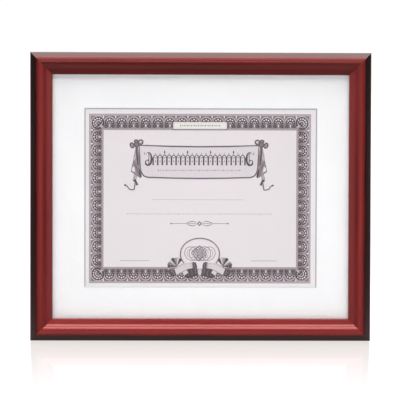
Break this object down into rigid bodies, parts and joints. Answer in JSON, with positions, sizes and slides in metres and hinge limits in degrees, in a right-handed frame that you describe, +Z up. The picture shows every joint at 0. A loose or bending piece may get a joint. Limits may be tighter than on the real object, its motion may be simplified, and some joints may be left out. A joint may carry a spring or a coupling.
{
  "type": "picture frame",
  "caption": "Landscape certificate frame with a mitred wooden moulding, glass, bevelled mat, easel strut, turn buttons and wall hangers.",
  "frame": {"origin": "middle of the bounding box on the table, under the leaned frame with its strut open", "axes": "+X across the frame to the viewer's right, +Y from the certificate's face towards the strut, +Z up"},
  "size_m": [0.4014, 0.1102, 0.3345],
  "materials": {
    "moulding": "satin mahogany lacquer, burnished dark along the outer edge",
    "glass": "clear 2 mm picture glass",
    "mat_board": "smooth white mat board, 45 degree bevel",
    "certificate_paper": "printed parchment paper",
    "filler": "grey-brown filler board",
    "backing": "black paper-faced fibreboard",
    "nail_steel": "bare pressed steel",
    "button_steel": "nickel-plated stamped steel",
    "button_screw": "zinc-plated pan head",
    "hinge_steel": "nickel-plated sheet steel",
    "rivet_steel": "nickel-plated rivet",
    "hanger_plate": "brassed folded strap",
    "hanger_wire": "brassed steel wire",
    "hanger_screw": "brassed pan head",
    "bumper_rubber": "soft dark rubber"
  },
  "bodies": {
    "frame": {"rail_top": "moulding", "rail_bottom": "moulding", "rail_left": "moulding", "rail_right": "moulding", "glass_pane": "glass", "window_mat": "mat_board", "certificate_sheet": "certificate_paper", "filler_board": "filler", "back_board": "backing", "corner_nails": "nail_steel", "turn_button_screws": "button_screw", "hinge_fixed_leaf": "hinge_steel", "hinge_pin": "hinge_steel", "fixed_leaf_rivets": "rivet_steel", "hanger_strap_left": "hanger_plate", "hanger_strap_right": "hanger_plate", "hanger_screws": "hanger_screw", "wall_bumpers": "bumper_rubber"},
    "strut": {"easel_strut": "backing", "hinge_moving_leaf": "hinge_steel", "strut_rivets": "rivet_steel"},
    "turn_button_bottom_left": {"turn_button_bottom_left": "button_steel"},
    "turn_button_bottom_right": {"turn_button_bottom_right": "button_steel"},
    "turn_button_top_left": {"turn_button_top_left": "button_steel"},
    "turn_button_top_right": {"turn_button_top_right": "button_steel"},
    "turn_button_left": {"turn_button_left": "button_steel"},
    "turn_button_right": {"turn_button_right": "button_steel"},
    "ring_left": {"hanger_ring_left": "hanger_wire"},
    "ring_right": {"hanger_ring_right": "hanger_wire"}
  },
  "joints": [
    {"name": "easel_hinge", "type": "hinge", "parent": "frame", "child": "strut", "pos_m": [0, 0.01325, 0.23039], "axis": [1, 0, 0], "range_deg": [-22, 0]},
    {"name": "turn_button_bottom_left_pivot", "type": "hinge", "parent": "frame", "child": "turn_button_bottom_left", "pos_m": [-0.10038, -0.03589, 0.00978], "axis": [0, 0.9781, -0.2079], "range_deg": [-90, 90]},
    {"name": "turn_button_bottom_right_pivot", "type": "hinge", "parent": "frame", "child": "turn_button_bottom_right", "pos_m": [0.10038, -0.03589, 0.00978], "axis": [0, 0.9781, -0.2079], "range_deg": [-90, 90]},
    {"name": "turn_button_top_left_pivot", "type": "hinge", "parent": "frame", "child": "turn_button_top_left", "pos_m": [-0.10038, 0.03064, 0.32279], "axis": [0, 0.9781, -0.2079], "range_deg": [-90, 90]},
    {"name": "turn_button_top_right_pivot", "type": "hinge", "parent": "frame", "child": "turn_button_top_right", "pos_m": [0.10038, 0.03064, 0.32279], "axis": [0, 0.9781, -0.2079], "range_deg": [-90, 90]},
    {"name": "turn_button_left_pivot", "type": "hinge", "parent": "frame", "child": "turn_button_left", "pos_m": [-0.19075, -0.00263, 0.16629], "axis": [0, 0.9781, -0.2079], "range_deg": [-90, 90]},
    {"name": "turn_button_right_pivot", "type": "hinge", "parent": "frame", "child": "turn_button_right", "pos_m": [0.19075, -0.00263, 0.16629], "axis": [0, 0.9781, -0.2079], "range_deg": [-90, 90]},
    {"name": "ring_left_swing", "type": "hinge", "parent": "frame", "child": "ring_left", "pos_m": [-0.19075, 0.01201, 0.22554], "axis": [1, 0, 0], "range_deg": [-6, 168]},
    {"name": "ring_right_swing", "type": "hinge", "parent": "frame", "child": "ring_right", "pos_m": [0.19075, 0.01201, 0.22554], "axis": [1, 0, 0], "range_deg": [-6, 168]}
  ]
}
